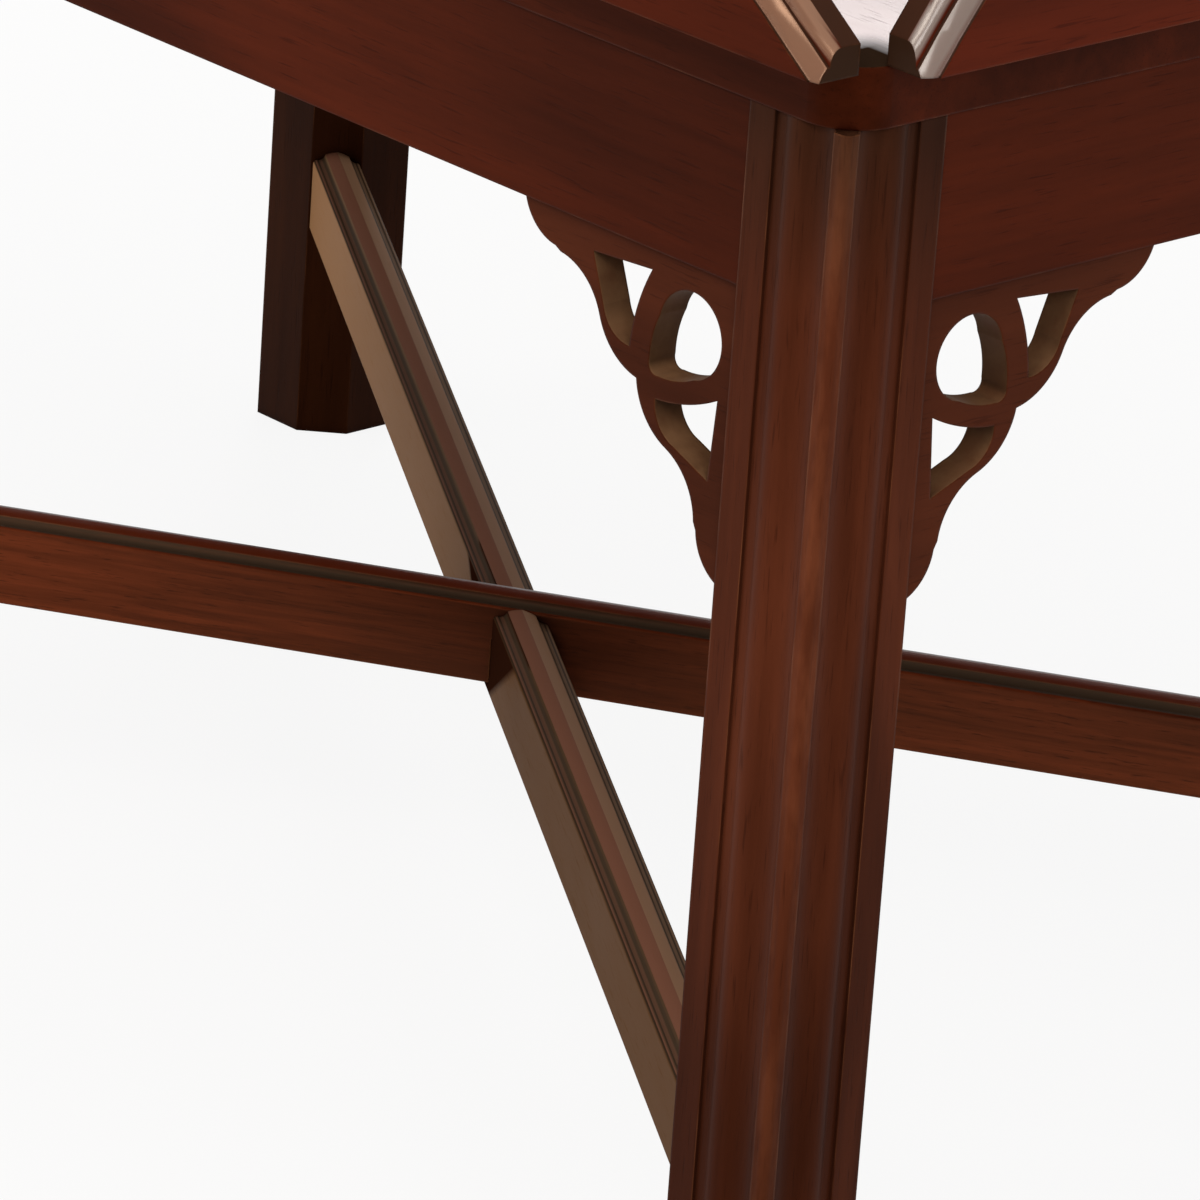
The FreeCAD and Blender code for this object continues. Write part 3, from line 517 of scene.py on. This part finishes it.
def waxTopAndShadeCorners(tree, look, finish):
    top = maskNode(tree, facing(tree, axes["Z"]), finish["topMask"])
    corners = cornerMask(tree, "tray_panel", finish["cornerStart"], finish["cornerFull"])
    dull = product(tree, corners, top)
    waxed = difference(tree, top, dull, clamp=True)
    # painted shade in the corners of the top, where the wax is also less
    look["color"] = mixColor(tree, dull, look["color"], finish["corner"])
    look["gloss"] = difference(tree, look["gloss"], product(tree, waxed, finish["topSmoothing"]))
    shine = product(tree, waxed, finish["topSpecular"] - finish["specular"])
    plain = product(tree, difference(tree, 1.0, dull), finish["specular"])
    look["shine"] = total(tree, shine, plain)


# legs: painted shade on the faces turned to the middle of the table, rubbed paler on the corner bead with a
# painted highlight there, darker towards the foot and the top
legFinish = {
    "dark": (0.042, 0.0102, 0.0044, 1.0),
    "middle": (0.068, 0.0165, 0.0070, 1.0),
    "light": (0.102, 0.0250, 0.0104, 1.0),
    "worn": (0.27, 0.10, 0.042, 1.0),
    "wear": 0.6,
    "bands": {"stretch": (5.0, 26.0, 26.0), "detail": 3.0, "roughness": 0.5, "distortion": 0.6},
    # painted shade on the faces turned to the middle of the table
    "inside": (0.60, 0.68, 0.54, 1.0),
    "insideMask": ((0.20, 0.0), (0.60, 1.0)),
    # rubbed paler on the corner bead, partly a painted highlight
    "rubbed": (0.165, 0.047, 0.020, 1.0),
    "patches": {"stretch": (26.0, 110.0, 110.0), "shift": (0.4, 2.6, 1.9), "detail": 4.0, "roughness": 0.6},
    "patchMask": ((0.42, 0.05), (0.64, 0.6)),
    "beadStart": (0.0065, 0.0065),
    "beadFull": (0.0045, 0.0045),
    # darker towards the foot and the top of the leg
    "heightDarkening": ((0.15, (0.62, 0.62, 0.62, 1.0)), (0.29, white), (0.40, white), (0.45, (0.60, 0.80, 0.90, 1.0))),
}
outwardShares = (math.sqrt(0.5), math.sqrt(0.5), 0.0)


def shadeLeg(tree, look, finish):
    # painted shade on the faces turned to the middle of the table
    inward = product(tree, facingOut(tree, outwardShares), -1.0)
    inside = maskNode(tree, inward, finish["insideMask"])
    deep = mixColor(tree, 1.0, look["color"], finish["inside"], "MULTIPLY")
    look["color"] = mixColor(tree, inside, look["color"], deep)
    # rubbed patches on the corner bead, partly a painted highlight
    patches = maskNode(tree, grainNoise(tree, finish["turn"], finish["patches"]), finish["patchMask"])
    bead = cornerMask(tree, "leg_front_right", finish["beadStart"], finish["beadFull"])
    look["color"] = mixColor(tree, product(tree, bead, patches), look["color"], finish["rubbed"])
    # darker towards the foot and the top of the leg
    heightDarkening = rampNode(tree, reaching(tree, axes["Z"]), finish["heightDarkening"])
    look["color"] = mixColor(tree, 1.0, look["color"], heightDarkening, "MULTIPLY")


# stretchers: painted light on the two slopes of the crown, sides that change colour from end to end with a
# painted tan reflection on the lower bar, painted shade and reflection with some dirt in the coves beside the
# crown, and painted shade at the crossing
barFinish = {
    "sideMask": ((0.80, 0.0), (0.96, 1.0)),
    "sideStops": (0.12, 0.56),
    "sideMiddle": 0.5,
    "crownMask": ((0.06, 0.0), (0.14, 1.0), (0.45, 1.0), (0.60, 0.0)),
    "crownStops": (0.44, 0.56),
    "grooveFoot": 0.0040,
    "grooveMask": ((0.30, 0.0), (0.40, 1.0), (0.96, 1.0), (1.0, 0.0)),
    "crossingHalf": 0.012,
}
redBarFinish = {
    "dark": (0.038, 0.0072, 0.0028, 1.0),
    "middle": (0.088, 0.0168, 0.0056, 1.0),
    "light": (0.150, 0.0290, 0.0094, 1.0),
    "streaks": {"stretch": (14.0, 320.0, 320.0), "detail": 5.0, "roughness": 0.62, "distortion": 0.3},
    "streakShare": 0.55,
    "toneSpread": 0.11,
    "pores": {"stretch": (120.0, 1500.0, 1500.0), "detail": 2.0, "roughness": 0.5},
    "poreShare": 0.7,
    # the arrises are worn pale, partly a painted highlight along the top arris
    "wear": 0.9,
    "rubMask": ((0.36, 0.0), (0.54, 1.0)),
    "clearMask": ((0.45, 0.0), (0.65, 1.0)),
    "specular": 0.10,
    # painted shade with old polish in the hollows, reaching a little further
    "hollowReach": 0.008,
    "hollowShadeAndGrime": (0.20, 0.26, 0.30, 1.0),
    # painted light: the crown's two slopes get a lighter and a darker colour by the way they face
    "leftSlopeShading": (0.098, 0.0150, 0.0042, 1.0),
    "rightSlopeShading": (0.072, 0.0165, 0.0070, 1.0),
    "slopeShadingShare": 0.85,
    "sideStart": (0.104, 0.0225, 0.0080, 1.0),
    "sideEnd": (0.088, 0.0330, 0.0165, 1.0),
    "sideBlend": 0.35,
    # painted shade and reflection in the coves, with some dirt
    "groove": (0.046, 0.0330, 0.0210, 1.0),
    "grooveShare": 0.9,
    # painted shade on the sides beside the crossing
    "crossing": (0.030, 0.0088, 0.0042, 1.0),
    "crossingReach": 0.110,
    "crossingBlur": 0.9,
    "crossingShare": 0.8,
}
# lower bar: the tan of its sides is a painted reflection of a tan floor
reflectionPaintedBarFinish = {
    "dark": (0.024, 0.013, 0.0064, 1.0),
    "middle": (0.038, 0.021, 0.0104, 1.0),
    "light": (0.056, 0.031, 0.0155, 1.0),
    "worn": (0.22, 0.080, 0.046, 1.0),
    "wear": 0.7,
    "roughness": 0.48,
    "specular": 0.008,
    # a wide hollow reach spreads painted shade along the sides near the crossing
    "hollowReach": 0.02,
    "hollowShadeAndGrime": (0.14, 0.10, 0.08, 1.0),
    # painted light and painted reflection: the crown's two slopes differ by the way they face
    "leftSlopeShading": (0.250, 0.104, 0.064, 1.0),
    "rightSlopeShading": (0.36, 0.20, 0.115, 1.0),
    "slopeShadingShare": 0.8,
    # painted reflection: tan on the sides towards this end
    "sideStart": (0.41, 0.212, 0.098, 1.0),
    "sideEnd": (0.112, 0.048, 0.0145, 1.0),
    "sideBlend": 0.85,
    # painted shade and reflection in the coves, with some dirt
    "groove": (0.070, 0.044, 0.026, 1.0),
    "grooveShare": 0.6,
    # painted shade on the sides beside the crossing
    "crossing": (0.026, 0.0080, 0.0038, 1.0),
    "crossingReach": 0.052,
    "crossingBlur": 0.12,
    "crossingShare": 1.0,
}


def paintBarLightAndTone(tree, look, finish):
    turned = facing(tree, finish["across"])
    steep = mathNode(tree, "ABSOLUTE", turned)
    sides = maskNode(tree, steep, finish["sideMask"])
    crown = maskNode(tree, steep, finish["crownMask"])
    # painted light on the crown: each slope takes its colour from the way it faces
    leftToRight = total(tree, product(tree, turned, 0.5), 0.5)
    slopes = list(zip(finish["crownStops"], (finish["leftSlopeShading"], finish["rightSlopeShading"])))
    slopeShading = rampNode(tree, leftToRight, slopes)
    look["color"] = mixColor(tree, product(tree, crown, finish["slopeShadingShare"]), look["color"], slopeShading)
    # the sides change colour from end to end; on the lower bar the tan end is a painted reflection
    place = total(tree, reaching(tree, finish["along"]), finish["sideMiddle"])
    ends = list(zip(finish["sideStops"], (finish["sideStart"], finish["sideEnd"])))
    look["color"] = mixColor(tree, product(tree, sides, finish["sideBlend"]), look["color"],
                             rampNode(tree, place, ends))
    shadeAndDirtInGroove(tree, look, finish)
    shadeCrossing(tree, look, finish, sides)


# painted shade and reflection in the coves beside the crown, with some grey dirt
def shadeAndDirtInGroove(tree, look, finish):
    below = difference(tree, finish["barHeights"][1], reaching(tree, axes["Z"]))
    groove = maskNode(tree, product(tree, below, 1.0 / finish["grooveFoot"]), finish["grooveMask"])
    grooveShadeAndDirt = product(tree, groove, finish["grooveShare"])
    look["color"] = mixColor(tree, grooveShadeAndDirt, look["color"], finish["groove"])


# painted shade at the crossing reaches further from it at the top of a side than at its foot, and dims the
# shine there
def shadeCrossing(tree, look, finish, sides):
    foot, ridge = finish["barHeights"]
    height = difference(tree, reaching(tree, axes["Z"]), foot)
    rise = product(tree, height, 1.0 / (ridge - foot))
    apart = mathNode(tree, "ABSOLUTE", reaching(tree, finish["along"]))
    gap = difference(tree, apart, finish["crossingHalf"])
    depth = difference(tree, rise, product(tree, gap, 1.0 / finish["crossingReach"]))
    corner = maskNode(tree, depth, [(0.0, 0.0), (finish["crossingBlur"], 1.0)])
    # painted shade near the crossing, which also dims the shine
    dull = product(tree, product(tree, corner, sides), finish["crossingShare"])
    look["color"] = mixColor(tree, dull, look["color"], finish["crossing"])
    look["shine"] = product(tree, difference(tree, 1.0, dull, clamp=True), finish["specular"])


# plain unpolished wood for the hidden battens and blocks
secondaryFinish = {
    "dark": (0.17, 0.085, 0.038, 1.0),
    "light": (0.34, 0.20, 0.105, 1.0),
    "stops": (0.32, 0.68),
    "streaks": {"stretch": (6.0, 190.0, 190.0), "detail": 4.0, "roughness": 0.6, "distortion": 0.3},
    "roughness": 0.72,
    "relief": 0.3,
    "reliefDepth": 0.0008,
}


def secondaryWood(name, run, finish):
    material = bpy.data.materials.new(name)
    material.use_nodes = True
    tree = material.node_tree
    shader = tree.nodes["Principled BSDF"]
    streaks = grainNoise(tree, run["turn"], finish["streaks"])
    color = rampNode(tree, streaks, list(zip(finish["stops"], (finish["dark"], finish["light"]))))
    tree.links.new(color, shader.inputs["Base Color"])
    shader.inputs["Roughness"].default_value = finish["roughness"]
    bump = addNode(tree, "ShaderNodeBump", {"Strength": finish["relief"], "Distance": finish["reliefDepth"]})
    tree.links.new(streaks, bump.inputs["Height"])
    tree.links.new(bump.outputs[0], shader.inputs["Normal"])
    return material


# aged brass for the hinges, dull steel for the batten screws
metalAge = {
    "patches": {"stretch": (90.0, 90.0, 90.0), "detail": 4.0, "roughness": 0.65},
    "patchMask": ((0.42, 0.0), (0.72, 1.0)),
    "patchShare": 0.7,
    "scratches": {"stretch": (120.0, 2600.0, 2600.0), "detail": 2.0, "roughness": 0.5},
    "scratchTurn": (0.0, 0.0, 0.3),
    "scratchSwing": 0.2,
    "dirtReach": 0.003,
    "dirtSamples": 6,
    "dirtMask": ((0.30, 1.0), (0.85, 0.0)),
    "dullRoughness": 0.25,
    "edgeRadius": 0.0004,
    "edgeSamples": 4,
    "relief": 0.1,
    "reliefDepth": 0.0002,
}
brassFinish = {"bright": (0.66, 0.46, 0.19, 1.0), "tarnish": (0.26, 0.16, 0.07, 1.0), "roughness": 0.3}
steelFinish = {"bright": (0.44, 0.43, 0.42, 1.0), "tarnish": (0.19, 0.17, 0.15, 1.0), "roughness": 0.45}


def agedMetal(name, finish, age):
    material = bpy.data.materials.new(name)
    material.use_nodes = True
    tree = material.node_tree
    shader = tree.nodes["Principled BSDF"]
    shader.inputs["Metallic"].default_value = 1.0
    patches = maskNode(tree, grainNoise(tree, runs["X"]["turn"], age["patches"]), age["patchMask"])
    scratches = grainNoise(tree, age["scratchTurn"], age["scratches"])
    hollow = addNode(tree, "ShaderNodeAmbientOcclusion", {"Distance": age["dirtReach"]},
                     samples=age["dirtSamples"])
    dirt = maskNode(tree, hollow.outputs["AO"], age["dirtMask"])
    dull = mathNode(tree, "MAXIMUM", product(tree, patches, age["patchShare"]), dirt)
    tree.links.new(mixColor(tree, dull, finish["bright"], finish["tarnish"]), shader.inputs["Base Color"])
    swing = age["scratchSwing"]
    gloss = total(tree, finish["roughness"] - swing / 2, product(tree, scratches, swing))
    gloss = total(tree, gloss, product(tree, dull, age["dullRoughness"]))
    tree.links.new(gloss, shader.inputs["Roughness"])
    rounded = addNode(tree, "ShaderNodeBevel", {"Radius": age["edgeRadius"]}, samples=age["edgeSamples"])
    bump = addNode(tree, "ShaderNodeBump", {"Strength": age["relief"], "Distance": age["reliefDepth"]})
    tree.links.new(scratches, bump.inputs["Height"])
    tree.links.new(rounded.outputs[0], bump.inputs["Normal"])
    tree.links.new(bump.outputs[0], shader.inputs["Normal"])
    return material


longFret = finishOf(runs["X"], fretFinish)
shortFret = finishOf(runs["Y"], fretFinish)
longFlap = finishOf(runs["X"], flapFinish, longFlapRimHighlight)
shortFlap = finishOf(runs["Y"], flapFinish, shortFlapRimHighlight)
redBar = finishOf(barRun("stretcher_upper", stretcherAngle), barFinish, redBarFinish)
reflectionPaintedBar = finishOf(barRun("stretcher_lower", -stretcherAngle), barFinish, reflectionPaintedBarFinish)
brass = agedMetal("agedBrass", brassFinish, metalAge)

# what the pieces wear, by the start of their names; the hinges, which are left, are brass
wardrobe = {
    ("leg_",): mahogany("legMahogany", finishOf(runs["Z"], legFinish), shadeLeg),
    ("tray_panel",): mahogany("trayMahogany", finishOf(runs["X"], trayFinish), waxTopAndShadeCorners),
    ("apron_front", "apron_back"): mahogany("mahoganyAlong", finishOf(runs["X"])),
    ("apron_left", "apron_right"): mahogany("mahoganyAcross", finishOf(runs["Y"])),
    ("flap_front", "flap_back"): mahogany("flapMahoganyAlong", longFlap, burnishAndHighlightRim),
    ("flap_left", "flap_right"): mahogany("flapMahoganyAcross", shortFlap, burnishAndHighlightRim),
    ("bracket_front", "bracket_back"): mahogany("fretMahoganyAlong", longFret, paleSawnEdges),
    ("bracket_left", "bracket_right"): mahogany("fretMahoganyAcross", shortFret, paleSawnEdges),
    ("stretcher_upper",): mahogany("redBarMahogany", redBar, paintBarLightAndTone),
    ("stretcher_lower",): mahogany("reflectionPaintedBarMahogany", reflectionPaintedBar, paintBarLightAndTone),
    ("batten_left", "batten_right"): secondaryWood("secondaryAcross", runs["Y"], secondaryFinish),
    ("glue_block",): secondaryWood("secondaryUpright", runs["Z"], secondaryFinish),
    ("batten_screws",): agedMetal("dullSteel", steelFinish, metalAge),
}
for name, piece in nodes.items():
    material = next((cover for starts, cover in wardrobe.items() if name.startswith(starts)), brass)
    for slot in piece.material_slots:
        slot.material = material
print("pieces dressed")
